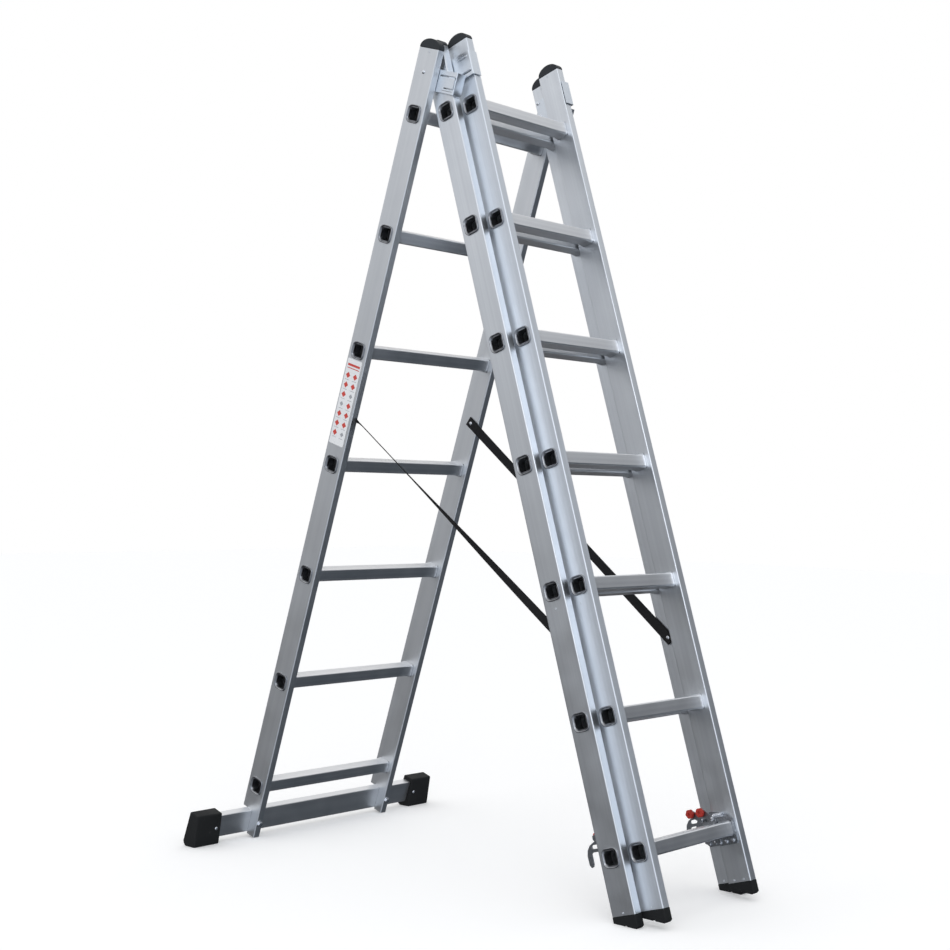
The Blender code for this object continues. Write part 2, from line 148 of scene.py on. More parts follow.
def mix_colours(tree, factor, first, second):
    """A Mix node between two fixed colours, or between an output socket and a colour."""
    node = tree.nodes.new("ShaderNodeMix")
    node.data_type = "RGBA"
    tree.links.new(factor, node.inputs["Factor"])
    for socket, value in ((node.inputs["A"], first), (node.inputs["B"], second)):
        if isinstance(value, tuple):
            socket.default_value = (*value, 1.0)
        else:
            tree.links.new(value, socket)
    return node.outputs["Result"]


def toward(tree, parts, x, y):
    """How far a direction turns toward the level direction (x, y), from 0 to 1."""
    reach = arithmetic(tree, "ADD", arithmetic(tree, "MULTIPLY", parts.outputs["X"], x),
                       arithmetic(tree, "MULTIPLY", parts.outputs["Y"], y))
    turned_to = map_between(tree, reach, 0.0, 1.0, 0.35, 0.80)
    turned_to.node.interpolation_type = "SMOOTHSTEP"
    return turned_to


# Colours by height, from straight down to straight up: all round first, then on one side each.
tent_walls = (
    (None, [(0.0, (0.06, 0.06, 0.06)), (0.32, (0.08, 0.08, 0.085)), (0.42, (0.10, 0.10, 0.10)),
            (0.475, (0.26, 0.26, 0.265)), (0.56, (0.66, 0.67, 0.69)), (0.68, (0.80, 0.81, 0.84)),
            (0.85, (0.95, 0.95, 0.95)), (1.0, (0.9, 0.9, 0.9))]),
    ((0.72, -0.69), [(0.0, (0.05, 0.06, 0.07)), (0.50, (0.06, 0.07, 0.085)),
                     (0.60, (0.10, 0.11, 0.125)), (0.66, (0.26, 0.27, 0.29)),
                     (0.70, (0.44, 0.46, 0.48)), (0.74, (0.60, 0.62, 0.65)),
                     (0.85, (0.8, 0.8, 0.8))]),
    ((0.70, 0.71), [(0.0, (0.10, 0.10, 0.10)), (0.44, (0.14, 0.14, 0.15)),
                    (0.50, (0.30, 0.30, 0.31)), (0.62, (0.90, 0.90, 0.90)), (1.0, (0.9, 0.9, 0.9))]),
    ((-0.72, -0.69), [(0.0, (0.3, 0.32, 0.35)), (0.35, (0.62, 0.67, 0.74)),
                      (0.45, (0.82, 0.88, 0.97)), (0.75, (0.86, 0.91, 0.98)),
                      (1.0, (0.9, 0.9, 0.9))]))


def light_tent():
    """World light by direction; the camera itself sees plain white."""
    world = bpy.data.worlds.new("light_tent")
    world.use_nodes = True
    tree = world.node_tree
    tree.nodes.clear()
    direction = tree.nodes.new("ShaderNodeTexCoord")
    parts = tree.nodes.new("ShaderNodeSeparateXYZ")
    tree.links.new(direction.outputs["Generated"], parts.inputs["Vector"])
    height = map_between(tree, parts.outputs["Z"], 0.0, 1.0, -1.0, 1.0)
    light = None
    for wall, stops in tent_walls:
        ramp = colour_ramp(tree, stops)
        tree.links.new(height, ramp.inputs["Fac"])
        if wall is None:
            light = ramp.outputs["Color"]
        else:
            light = mix_colours(tree, toward(tree, parts, *wall), light, ramp.outputs["Color"])
    seen = new_node(tree, "ShaderNodeBackground", Color=(1.0, 1.0, 1.0, 1.0), Strength=1.0)
    lit = new_node(tree, "ShaderNodeBackground", Strength=1.0)
    tree.links.new(light, lit.inputs["Color"])
    ray = tree.nodes.new("ShaderNodeLightPath")
    mix = tree.nodes.new("ShaderNodeMixShader")
    tree.links.new(ray.outputs["Is Camera Ray"], mix.inputs["Fac"])
    tree.links.new(lit.outputs["Background"], mix.inputs[1])
    tree.links.new(seen.outputs["Background"], mix.inputs[2])
    out = tree.nodes.new("ShaderNodeOutputWorld")
    tree.links.new(mix.outputs["Shader"], out.inputs["Surface"])
    bpy.context.scene.world = world


def soft_box(name, place, target, size, power):
    lamp = bpy.data.lights.new(name, "AREA")
    lamp.shape = "RECTANGLE"
    lamp.size, lamp.size_y = size
    lamp.energy = power
    obj = bpy.data.objects.new(name, lamp)
    bpy.context.scene.collection.objects.link(obj)
    obj.location = place
    obj.rotation_euler = (Vector(target) - Vector(place)).to_track_quat("-Z", "Y").to_euler()


light_tent()
soft_box("front_soft_box", (-3.2, -3.4, 2.9), (0.0, 0.0, 0.9), (2.4, 1.8), 26.0)
floor_reach = 15
floor_mesh = bpy.data.meshes.new("floor")
floor_mesh.from_pydata([(x * floor_reach, y * floor_reach, 0)
                        for x, y in ((-1, -1), (1, -1), (1, 1), (-1, 1))], [], [(0, 1, 2, 3)])
floor = bpy.data.objects.new("floor", floor_mesh)
bpy.context.scene.collection.objects.link(floor)
floor.visible_glossy = False
white_paper, _, paper_shader = blank_material("white_paper")
for socket, value in (("Base Color", (0.9, 0.9, 0.9, 1.0)), ("Roughness", 0.9),
                      ("Specular IOR Level", 0.0), ("Emission Color", (1.0, 1.0, 1.0, 1.0)),
                      ("Emission Strength", 0.22)):
    paper_shader.inputs[socket].default_value = value
floor_mesh.materials.append(white_paper)

# ==== Stiles ===============================================================================
# Six rectangular hollow extrusions in mill-finish aluminium, cut to length, with a square hole
# through both webs for each rung. The rear pair is cut away at the back for the stabiliser bar.
stile_wall = 0.0018
stile_corner = 0.0024
rung_hole = 0.0168
bar_front = -0.0044
bar_top = -1.745


def shader_group(name, inputs, outputs):
    """A node group with named sockets; each entry is (name, type, default or None)."""
    tree = bpy.data.node_groups.new(name, "ShaderNodeTree")
    for label, kind, default in inputs:
        socket = tree.interface.new_socket(label, in_out="INPUT", socket_type=kind)
        if default is not None:
            socket.default_value = default
    for label, kind in outputs:
        tree.interface.new_socket(label, in_out="OUTPUT", socket_type=kind)
    return tree, tree.nodes.new("NodeGroupInput"), tree.nodes.new("NodeGroupOutput")


def noise(tree, vector, scale, detail, roughness=0.5):
    node = new_node(tree, "ShaderNodeTexNoise", Scale=scale, Detail=detail, Roughness=roughness)
    tree.links.new(vector, node.inputs["Vector"])
    return node.outputs["Fac"]


def stretched(tree, vector, scale):
    node = tree.nodes.new("ShaderNodeVectorMath")
    node.operation = "MULTIPLY"
    tree.links.new(vector, node.inputs[0])
    tree.links.new(scale, node.inputs[1])
    return node.outputs["Vector"]


def build_die_lines():
    """Fine lines and broad bands that the extrusion die leaves along a profile."""
    tree, given, out = shader_group(
        "die_lines",
        [("Vector", "NodeSocketVector", None), ("Grain", "NodeSocketVector", (900.0, 900.0, 6.0)),
         ("Bands", "NodeSocketVector", (130.0, 130.0, 0.8))],
        [("Line", "NodeSocketFloat"), ("Band", "NodeSocketFloat"), ("Height", "NodeSocketFloat")])
    fine = noise(tree, stretched(tree, given.outputs["Vector"], given.outputs["Grain"]), 1.0, 3.0)
    broad = noise(tree, stretched(tree, given.outputs["Vector"], given.outputs["Bands"]), 1.0, 2.0)
    tree.links.new(fine, out.inputs["Line"])
    tree.links.new(broad, out.inputs["Band"])
    height = arithmetic(tree, "ADD", arithmetic(tree, "MULTIPLY", fine, 0.35), broad)
    tree.links.new(height, out.inputs["Height"])
    return tree


def build_handling():
    """Smudges and short scuffs from hands and transport, in object space."""
    tree, given, out = shader_group(
        "handling_marks", [("Vector", "NodeSocketVector", None)],
        [("Smudge", "NodeSocketFloat"), ("Scuff", "NodeSocketFloat"), ("Speckle", "NodeSocketFloat")])
    smudge = noise(tree, given.outputs["Vector"], 14.0, 4.0, 0.6)
    speckle = noise(tree, given.outputs["Vector"], 1400.0, 2.0)
    scratches = noise(tree, given.outputs["Vector"], 160.0, 5.0, 0.7)
    tree.links.new(smudge, out.inputs["Smudge"])
    tree.links.new(map_between(tree, scratches, 0.0, 1.0, 0.64, 0.74), out.inputs["Scuff"])
    tree.links.new(speckle, out.inputs["Speckle"])
    return tree


die_lines = build_die_lines()
handling_marks = build_handling()


def place_group(tree, group):
    node = tree.nodes.new("ShaderNodeGroup")
    node.node_tree = group
    return node


def handled(name):
    """A material with handling marks laid out in the piece's own space."""
    mat, tree, shader = blank_material(name)
    coords = tree.nodes.new("ShaderNodeTexCoord").outputs["Object"]
    marks = place_group(tree, handling_marks)
    tree.links.new(coords, marks.inputs["Vector"])
    return mat, tree, shader, coords, marks.outputs


def finish_with(tree, shader, colour, roughness, height, relief, distance=0.0004):
    """Colour and roughness for a shader, with bumps where height rises."""
    tree.links.new(colour, shader.inputs["Base Color"])
    tree.links.new(roughness, shader.inputs["Roughness"])
    bump = new_node(tree, "ShaderNodeBump", Strength=relief, Distance=distance)
    tree.links.new(height, bump.inputs["Height"])
    tree.links.new(bump.outputs["Normal"], shader.inputs["Normal"])


def aluminium(name, light, dark, grain, bands, roughness, relief):
    """Extruded aluminium with lines along grain; roughness is its (low, high)."""
    mat, tree, shader, coords, marks = handled(name)
    lines = place_group(tree, die_lines)
    lines.inputs["Grain"].default_value = grain
    lines.inputs["Bands"].default_value = bands
    tree.links.new(coords, lines.inputs["Vector"])
    banded = mix_colours(tree, map_between(tree, lines.outputs["Band"], 0.0, 1.0), dark, light)
    lined = mix_colours(tree, map_between(tree, lines.outputs["Line"], 0.0, 0.16), banded, dark)
    scuffed = mix_colours(tree, arithmetic(tree, "MULTIPLY", marks["Scuff"], 0.10), lined,
                          (0.45, 0.46, 0.48))
    patchy = arithmetic(tree, "ADD", arithmetic(tree, "MULTIPLY", marks["Smudge"], 0.7),
                        arithmetic(tree, "MULTIPLY", lines.outputs["Line"], 0.3))
    shader.inputs["Metallic"].default_value = 1.0
    finish_with(tree, shader, scuffed, map_between(tree, patchy, *roughness),
                lines.outputs["Height"], relief)
    return mat


stile_aluminium = aluminium("stile_aluminium", (0.845, 0.88, 0.915), (0.77, 0.80, 0.84),
                            (900.0, 900.0, 5.0), (120.0, 120.0, 0.7), (0.30, 0.44), 0.22)
rear_aluminium = aluminium("rear_stile_aluminium", (0.785, 0.81, 0.835), (0.725, 0.75, 0.78),
                           (900.0, 900.0, 5.0), (60.0, 60.0, 0.7), (0.34, 0.48), 0.12)
# A brighter, rougher copy of the stile metal for the front section's left stile: its lighter colour is
# painted light, standing in for the light that falls on that web.
lit_front_web_aluminium = aluminium("lit_front_stile_aluminium", (0.86, 0.90, 0.95), (0.79, 0.83, 0.88),
                           (900.0, 900.0, 5.0), (120.0, 120.0, 0.7), (0.46, 0.56), 0.12)


def rounded_rectangle(half_a, half_b, radius, steps):
    """Corners of a rectangle with round corners, counter-clockwise from the +a side's foot."""
    points = []
    for corner, (sa, sb) in enumerate(((1, 1), (-1, 1), (-1, -1), (1, -1))):
        for i in range(steps + 1):
            turn = math.radians(90.0 * corner + 90.0 * i / steps)
            points.append((sa * (half_a - radius) + radius * math.cos(turn),
                           sb * (half_b - radius) + radius * math.sin(turn)))
    return points


def join_rings(bm, rings):
    """Faces between each ring of corners and the next one."""
    for first, second in zip(rings, rings[1:]):
        for i in range(len(first)):
            j = (i + 1) % len(first)
            bm.faces.new((first[i], first[j], second[j], second[i]))


def mesh_from(bm, name, sharp_over=35.0):
    """A smooth-shaded mesh whose edges over that many degrees stay crisp."""
    bmesh.ops.recalc_face_normals(bm, faces=bm.faces)
    for face in bm.faces:
        face.smooth = True
    for edge in bm.edges:
        edge.smooth = edge.is_boundary or edge.calc_face_angle(0.0) < math.radians(sharp_over)
    mesh = bpy.data.meshes.new(name)
    bm.to_mesh(mesh)
    bm.free()
    return mesh


def add_piece(name, mesh, place, body, mat, slot, *nodes):
    """Put a mesh in place on its body; nodes are the plain solids that it stands for."""
    obj = bpy.data.objects.new(name, mesh)
    bpy.context.scene.collection.objects.link(obj)
    obj.matrix_world = place
    if not mesh.materials:
        mesh.materials.append(mat)
    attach(obj, body)
    if nodes:
        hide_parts(*nodes)
    return obj


def keep_flats(obj):
    """Flat faces keep their own normals, so only the rounded corners shade round."""
    modifier = obj.modifiers.new("flat_faces", "WEIGHTED_NORMAL")
    modifier.keep_sharp = True


def stile_mesh(section, side, name):
    half_x, half_y = section["flange"] / 2, section["depth"] / 2
    centre = side * (section["width"] / 2 - half_x)
    cut = bar_front - 0.0003
    splits = sorted({-rung_hole, rung_hole} | ({cut} if section is rear else set()))
    bm = bmesh.new()
    shells = []
    for inset in (0.0, stile_wall):
        outline = rounded_rectangle(half_x - inset, half_y - inset, stile_corner - inset * 0.8, 4)
        ring = []
        for i, (x, y) in enumerate(outline):
            ring.append((x, y))
            after = outline[(i + 1) % len(outline)]
            if abs(after[0] - x) < 1e-9:
                between = [s for s in splits if min(y, after[1]) < s < max(y, after[1])]
                ring += [(x, s) for s in (between if after[1] > y else reversed(between))]
        shells.append(ring)
    levels = [section["top"]]
    for i in range(rung_count):
        levels += [-rung_pitch * i + rung_hole, -rung_pitch * i - rung_hole]
    if section is rear:
        levels.append(bar_top)
    levels.append(-section["foot"])
    made = []
    for ring in shells:
        grid = [[bm.verts.new((centre + x, y, z)) for x, y in ring] for z in levels]
        made.append(grid)
        for row in range(len(levels) - 1):
            middle_z = (levels[row] + levels[row + 1]) / 2
            at_hole = any(abs(middle_z + rung_pitch * k) < rung_hole for k in range(rung_count))
            below_bar = section is rear and middle_z < bar_top
            for i in range(len(ring)):
                j = (i + 1) % len(ring)
                middle_y = (ring[i][1] + ring[j][1]) / 2
                on_web = abs(ring[i][0] - ring[j][0]) < 1e-9
                if at_hole and on_web and abs(middle_y) < rung_hole:
                    continue
                if below_bar and middle_y > cut:
                    continue
                bm.faces.new((grid[row][i], grid[row][j], grid[row + 1][j], grid[row + 1][i]))
    for row in (0, -1):
        outer, inner = made[0][row], made[1][row]
        for i in range(len(outer)):
            j = (i + 1) % len(outer)
            if row == -1 and section is rear and (shells[0][i][1] + shells[0][j][1]) / 2 > cut:
                continue
            bm.faces.new((outer[i], outer[j], inner[j], inner[i]))
    bmesh.ops.delete(bm, geom=[v for v in bm.verts if not v.link_faces], context="VERTS")
    return mesh_from(bm, name)


for section in sections:
    for word, side in sides:
        name = f"{section['name']}_stile_{word}"
        metal = rear_aluminium if section is rear else stile_aluminium
        # The front section's left stile takes the copy whose lighter colour is painted light.
        if section is front and side < 0:
            metal = lit_front_web_aluminium
        piece = add_piece(name + "_extrusion", stile_mesh(section, side, name), section["place"],
                          section["body"], metal, "extruded_aluminium", name)
        keep_flats(piece)

# ==== Rungs ================================================================================
# Twenty-one square aluminium tubes, ribbed on top and underneath for grip. Each end is swollen
# against the inside of its stile and rolled over outside it.
rung_half = 0.015
rung_corner = 0.0034
rib_count = 6
rib_depth = 0.0006


def rung_ring(x, half, corner, ribs):
    """One cross-section (x, y, z); ribs is the depth of the grooves on the top and the bottom."""
    points = []
    steps = 4
    flat = 0.0110
    for quarter in range(4):
        sy, sz = ((1, 1), (-1, 1), (-1, -1), (1, -1))[quarter]
        for i in range(steps + 1):
            turn = math.radians(90.0 * quarter + 90.0 * i / steps)
            points.append((x, sy * (half - corner) + corner * math.cos(turn),
                           sz * (half - corner) + corner * math.sin(turn)))
        if quarter in (0, 2):
            span = min(flat, half - corner)
            pitch = 2 * span / rib_count
            for k in range(rib_count):
                start = sy * (span - pitch * k)
                for share, depth in ((0.25, 0.0), (0.38, 1.0), (0.62, 1.0), (0.75, 0.0)):
                    points.append((x, start - sy * pitch * share, sz * (half - ribs * depth)))
    return points


def rung_mesh(section):
    inner = section["width"] / 2 - section["flange"] - 0.0003
    web = section["width"] / 2 + 0.0002
    half = [(inner - 0.030, rung_half, rung_corner, rib_depth),
            (inner - 0.021, rung_half + 0.0001, 0.0040, rib_depth * 0.5),
            (inner - 0.013, 0.0160, 0.0052, 0.0), (inner - 0.007, 0.0174, 0.0062, 0.0),
            (inner - 0.002, 0.0178, 0.0066, 0.0), (inner, 0.0172, 0.0066, 0.0),
            (inner, rung_half, rung_corner, 0.0), (web, rung_half, rung_corner, 0.0),
            (web, 0.0204, 0.0118, 0.0), (web + 0.0007, 0.0209, 0.0122, 0.0),
            (web + 0.0017, 0.0208, 0.0121, 0.0), (web + 0.0025, 0.0202, 0.0117, 0.0),
            (web + 0.0028, 0.0195, 0.0112, 0.0), (web + 0.0023, 0.0186, 0.0108, 0.0),
            (web + 0.0002, 0.0166, 0.0104, 0.0), (web - 0.0040, 0.0154, 0.0100, 0.0),
            (web - 0.0100, 0.0144, 0.0094, 0.0), (web - 0.0200, 0.0138, 0.0080, 0.0),
            (web - 0.0420, 0.0136, 0.0040, 0.0)]
    profile = half + [(-x, size, corner, ribs) for x, size, corner, ribs in reversed(half)]
    bm = bmesh.new()
    rings = [[bm.verts.new(p) for p in rung_ring(*station)] for station in profile]
    join_rings(bm, rings + rings[:1])
    for face in bm.faces:
        middle_of = face.calc_center_median()
        rolled = abs(middle_of.x) > web - 0.02
        mouth = rolled and max(abs(middle_of.y), abs(middle_of.z)) < 0.0192
        # The rolled ends and the mouths just inside them get the darker metal, which is painted shade.
        face.material_index = 1 if mouth or abs(middle_of.x) > web + 0.0002 else 0
    mesh = mesh_from(bm, f"{section['name']}_rung", 50.0)
    for metal in (rung_aluminium, shaded_mouth_aluminium):
        mesh.materials.append(metal)
    return mesh


rung_aluminium = aluminium("rung_aluminium", (0.87, 0.88, 0.895), (0.78, 0.79, 0.81),
                           (5.0, 900.0, 900.0), (0.8, 110.0, 110.0), (0.28, 0.42), 0.15)
# Dark grey metal for the rolled ends and the tube mouths: painted shade inside the tube and a painted dark
# reflection of it on the rolled rims.
shaded_mouth_aluminium = aluminium("rolled_rung_end_painted_shade", (0.40, 0.41, 0.43), (0.26, 0.27, 0.29),
                            (60.0, 900.0, 900.0), (40.0, 90.0, 90.0), (0.24, 0.40), 0.15)
for section in sections:
    shared_rung = rung_mesh(section)
    for i in range(rung_count):
        node = f"{section['name']}_rung_{i + 1}"
        place = section["place"] @ Matrix.Translation((0.0, 0.0, -rung_pitch * i))
        piece = add_piece(node + "_tube", shared_rung, place, section["body"], rung_aluminium,
                          "extruded_aluminium", node)
        keep_flats(piece)

# ==== Top caps =============================================================================
# Six moulded caps with a domed top, plugged into the stiles' upper ends. A small pin through the
# web holds each one.
cap_height = 0.0225
cap_rim = 0.0026
cap_pins = {"rear": (-0.003, 0.1420), "middle": (0.003, 0.1470), "front": (0.003, 0.1470)}


def bevel_sharp(bm, width, over=30.0, segments=3):
    """Round every edge that turns by more than that many degrees."""
    edges = [e for e in bm.edges if not e.is_boundary and e.calc_face_angle(0.0) > math.radians(over)]
    bmesh.ops.bevel(bm, geom=edges, offset=width, segments=segments, profile=0.5,
                    affect="EDGES", clamp_overlap=True)


def block_along_x(outline, low, high):
    """A prism with its outline in (y, z), from x = low to x = high."""
    bm = bmesh.new()
    near_end, far_end = [[bm.verts.new((x, y, z)) for y, z in outline] for x in (low, high)]
    join_rings(bm, [near_end, far_end])
    bm.faces.new(list(reversed(near_end)))
    bm.faces.new(far_end)
    bmesh.ops.recalc_face_normals(bm, faces=bm.faces)
    return bm


def moulded(name, light, dark, roughness, grain, relief, scuff_colour):
    """Moulded plastic or rubber with a fine texture, dull patches and scuffs."""
    mat, tree, shader, coords, marks = handled(name)
    pebble = noise(tree, coords, grain, 3.0, 0.6)
    patchy = mix_colours(tree, map_between(tree, marks["Smudge"], 0.0, 1.0), dark, light)
    scuffed = mix_colours(tree, arithmetic(tree, "MULTIPLY", marks["Scuff"], 0.35), patchy,
                          scuff_colour)
    shader.inputs["Specular IOR Level"].default_value = 0.3
    finish_with(tree, shader, scuffed, map_between(tree, marks["Smudge"], *roughness), pebble,
                relief, 0.0003)
    return mat


cap_plastic = moulded("cap_plastic", (0.024, 0.028, 0.033), (0.017, 0.020, 0.024), (0.40, 0.58),
                      1200.0, 0.25, (0.09, 0.09, 0.09))


def flange_span(section, side):
    """Where a stile starts and ends along X."""
    web = side * section["width"] / 2
    return sorted((web, web - side * section["flange"]))


def cap_mesh(section, side):
    half_y = section["depth"] / 2
    outline = [(-half_y, 0.0003), (half_y, 0.0003)]
    steps = 18
    for i in range(steps + 1):
        turn = math.pi * i / steps
        outline.append((half_y * math.cos(turn),
                        cap_rim + (cap_height - cap_rim) * math.sin(turn)))
    bm = block_along_x(outline, *flange_span(section, side))
    bevel_sharp(bm, 0.0016, 40.0)
    return mesh_from(bm, f"{section['name']}_cap", 50.0)


for section in sections:
    for word, side in sides:
        name = f"{section['name']}_cap_{word}"
        place = section["place"] @ Matrix.Translation((0.0, 0.0, section["top"]))
        keep_flats(add_piece(name + "_dome", cap_mesh(section, side), place, section["body"],
                             cap_plastic, "cap_plastic", name))

# ==== Feet =================================================================================
# Four moulded rubber wedges plugged into the lower ends of the middle and front stiles, cut so
# that the sole lies flat on the floor, with a shallow channel across the sole.
foot_rubber = moulded("foot_rubber", (0.011, 0.012, 0.013), (0.007, 0.008, 0.009), (0.55, 0.80),
                      700.0, 0.45, (0.11, 0.11, 0.11))
floor_slope = math.tan(lean)
top_rung_height = middle_place.translation.z


def foot_outline(section):
    half_y = section["depth"] / 2
    level = (section["foot"] * math.cos(lean) - top_rung_height) / math.cos(lean)
    toe = half_y - 0.006
    channel = 0.0015
    return [(half_y, -0.0003), (half_y, level + floor_slope * half_y),
            (channel + 0.002, level + floor_slope * (channel + 0.002)),
            (channel, level + floor_slope * channel + 0.002),
            (-channel, level - floor_slope * channel + 0.002),
            (-channel - 0.002, level - floor_slope * (channel + 0.002)),
            (-toe, level - floor_slope * toe),
            (-half_y, level - floor_slope * half_y + 0.006), (-half_y, -0.0003)]


for section in (middle, front):
    for word, side in sides:
        name = f"{section['name']}_foot_{word}"
        bm = block_along_x(foot_outline(section), *flange_span(section, side))
        bevel_sharp(bm, 0.0012, 40.0, 2)
        place = section["place"] @ Matrix.Translation((0.0, 0.0, -section["foot"]))
        keep_flats(add_piece(name + "_wedge", mesh_from(bm, name, 50.0), place, section["body"],
                             foot_rubber, "foot_rubber", name))

# ==== Stabiliser bar =======================================================================
# A flat aluminium box tube bolted across the backs of the rear stiles' lower ends.
bar_bottom = -1.803
bar_depth = 0.022
bar_half_length = 0.395
bolt_x = (rear["width"] - rear["flange"]) / 2
bolt_height = -1.771


def bar_mesh():
    bm = bmesh.new()
    middle_y, middle_z = bar_front + bar_depth / 2, (bar_top + bar_bottom) / 2
    rings = []
    for x, inset in ((-bar_half_length, 0.0), (bar_half_length, 0.0),
                     (bar_half_length, 0.002), (-bar_half_length, 0.002)):
        outline = rounded_rectangle(bar_depth / 2 - inset, (bar_top - bar_bottom) / 2 - inset,
                                    0.0022 - inset * 0.6, 4)
        rings.append([bm.verts.new((x, middle_y + y, middle_z + z)) for y, z in outline])
    join_rings(bm, rings + rings[:1])
    return mesh_from(bm, "stabiliser_bar")


bar_aluminium = aluminium("bar_aluminium", (0.84, 0.85, 0.865), (0.77, 0.78, 0.80),
                          (5.0, 900.0, 900.0), (0.8, 90.0, 90.0), (0.34, 0.48), 0.12)
keep_flats(add_piece("stabiliser_bar_tube", bar_mesh(), rear_place, "rear_section", bar_aluminium,
                     "extruded_aluminium", "stabiliser_bar"))

# ==== Stabiliser shoes =====================================================================
# Moulded rubber shoes sleeved over the ends of the bar and held by one rivet each; the sole
# lies level and is rounded up at the heel.
shoe_inner = 0.331
shoe_outer = 0.407
shoe_wall = 0.0045
shoe_top = bar_top + 0.010


def shoe_mesh(side):
    front_y, back_y = bar_front - shoe_wall, bar_front + bar_depth + shoe_wall
    sole = -top_rung_height / math.cos(lean)
    heel = sole - floor_slope * 0.0140
    outline = [(back_y, shoe_top), (front_y, shoe_top),
               (-0.0205, sole + floor_slope * 0.0205), (0.0140, heel), (0.0205, heel + 0.0028),
               (0.0260, heel + 0.0090)]
    low, high = sorted((side * shoe_inner, side * shoe_outer))
    bm = block_along_x(outline, low, high)
    bevel_sharp(bm, 0.0035, 24.0, 4)
    for v in bm.verts:
        near_mouth = abs(v.co.x - side * shoe_inner) < 0.004
        if near_mouth and v.co.z > bar_bottom:
            v.co.y -= 0.0006 * (1 if v.co.y < bar_front else -1)
    return mesh_from(bm, "shoe", 60.0)


for word, side in sides:
    name = f"stabiliser_shoe_{word}"
    keep_flats(add_piece(name + "_moulding", shoe_mesh(side), rear_place, "rear_section",
                         foot_rubber, "foot_rubber", name))

# ==== Bolts, rivets and pins ===============================================================
# Zinc-plated fasteners: hexagon bolts with washers through the bar, domed rivets in the brackets,
# shoes and straps, and the small pins and dimples that hold caps, feet and stops.
shoe_rivet = (0.345, -0.0143, -1.772)
bracket_rivet_height = 0.096
stop_height = -1.158
foot_pin_rise = 0.0052


def build_zinc_bloom():
    """Cloudy zinc grain and rubbed spots."""
    tree, given, out = shader_group(
        "zinc_bloom", [("Vector", "NodeSocketVector", None), ("Size", "NodeSocketFloat", 220.0)],
        [("Cloud", "NodeSocketFloat"), ("Grain", "NodeSocketFloat")])
    cells = tree.nodes.new("ShaderNodeTexVoronoi")
    tree.links.new(given.outputs["Vector"], cells.inputs["Vector"])
    tree.links.new(given.outputs["Size"], cells.inputs["Scale"])
    cloud = noise(tree, given.outputs["Vector"], 60.0, 4.0, 0.6)
    shade = tree.nodes.new("ShaderNodeSeparateXYZ")
    tree.links.new(cells.outputs["Color"], shade.inputs["Vector"])
    tree.links.new(shade.outputs["X"], out.inputs["Grain"])
    tree.links.new(cloud, out.inputs["Cloud"])
    return tree


zinc_bloom = build_zinc_bloom()


def zinc(name, light, dark, size, roughness, relief=0.12):
    mat, tree, shader = blank_material(name)
    coords = tree.nodes.new("ShaderNodeTexCoord").outputs["Object"]
    bloom = place_group(tree, zinc_bloom)
    bloom.inputs["Size"].default_value = size
    tree.links.new(coords, bloom.inputs["Vector"])
    mixed = arithmetic(tree, "ADD", arithmetic(tree, "MULTIPLY", bloom.outputs["Grain"], 0.35),
                       arithmetic(tree, "MULTIPLY", bloom.outputs["Cloud"], 0.65))
    shader.inputs["Metallic"].default_value = 1.0
    finish_with(tree, shader, mix_colours(tree, map_between(tree, mixed, 0.0, 1.0), dark, light),
                map_between(tree, mixed, roughness[1], roughness[0]), bloom.outputs["Cloud"], relief)
    return mat


bright_zinc = zinc("bright_zinc", (0.86, 0.88, 0.92), (0.66, 0.69, 0.74), 900.0, (0.16, 0.30))
sheet_zinc = zinc("galvanised_sheet", (0.82, 0.87, 0.93), (0.78, 0.83, 0.89), 420.0,
                  (0.30, 0.36), 0.01)
hook_steel = zinc("hook_steel", (0.44, 0.46, 0.49), (0.26, 0.275, 0.30), 320.0, (0.30, 0.46))


def turned(name, profile, sides_round=20):
    """A solid of revolution about +Z; profile is (radius, height) from the axis outward."""
    bm = bmesh.new()
    rings = []
    for radius, height in profile:
        if radius < 1e-6:
            rings.append([bm.verts.new((0.0, 0.0, height))])
        else:
            rings.append([bm.verts.new((radius * math.cos(2 * math.pi * i / sides_round),
                                        radius * math.sin(2 * math.pi * i / sides_round), height))
                          for i in range(sides_round)])
    for first, second in zip(rings, rings[1:]):
        for i in range(sides_round):
            j = (i + 1) % sides_round
            corners = [first[i % len(first)], first[j % len(first)],
                       second[j % len(second)], second[i % len(second)]]
            bm.faces.new(list(dict.fromkeys(corners)))
    return mesh_from(bm, name, 40.0)


def dome(radius, height):
    """Profile of a domed head with a short skirt."""
    steps = 6
    points = [(radius * math.sin(math.pi / 2 * i / steps), height * math.cos(math.pi / 2 * i / steps))
              for i in range(steps + 1)]
    return points + [(radius, -0.0006)]


def facing(position, direction):
    """Stand a turned piece at a point with its axis along a direction."""
    turn = Vector((0.0, 0.0, 1.0)).rotation_difference(Vector(direction)).to_matrix().to_4x4()
    return Matrix.Translation(position) @ turn


rivet_mesh = turned("domed_rivet", dome(0.0046, 0.0026))
pin_mesh = turned("small_pin", [(0.0, 0.0002), (0.0010, 0.0003), (0.0017, 0.0007), (0.0021, 0.0005),
                                (0.0024, -0.0004)], 14)


def fasten(name, mesh, section, position, direction, mat=None):
    place = section["place"] @ facing(position, direction)
    return add_piece(name, mesh, place, section["body"], mat or bright_zinc, "zinc_steel")


def hexagon_bolt_mesh():
    """Hexagon head with a chamfered crown on a round washer; the nut is on the far side."""
    bm = bmesh.new()
    rings = []
    for radius, height, six_sided in ((0.0062, 0.0052, True), (0.0075, 0.0042, True),
                                      (0.0075, 0.0010, True), (0.0088, 0.0010, False),
                                      (0.0090, 0.0006, False), (0.0090, 0.0, False)):
        ring = []
        for i in range(12):
            turn = math.radians(30.0 * i)
            reach = radius * math.cos(math.radians(30.0)) if six_sided and i % 2 else radius
            ring.append(bm.verts.new((reach * math.cos(turn), reach * math.sin(turn), height)))
        rings.append(ring)
    join_rings(bm, rings)
    bm.faces.new(rings[0])
    bm.faces.new(list(reversed(rings[-1])))
    return mesh_from(bm, "hexagon_bolt", 25.0)


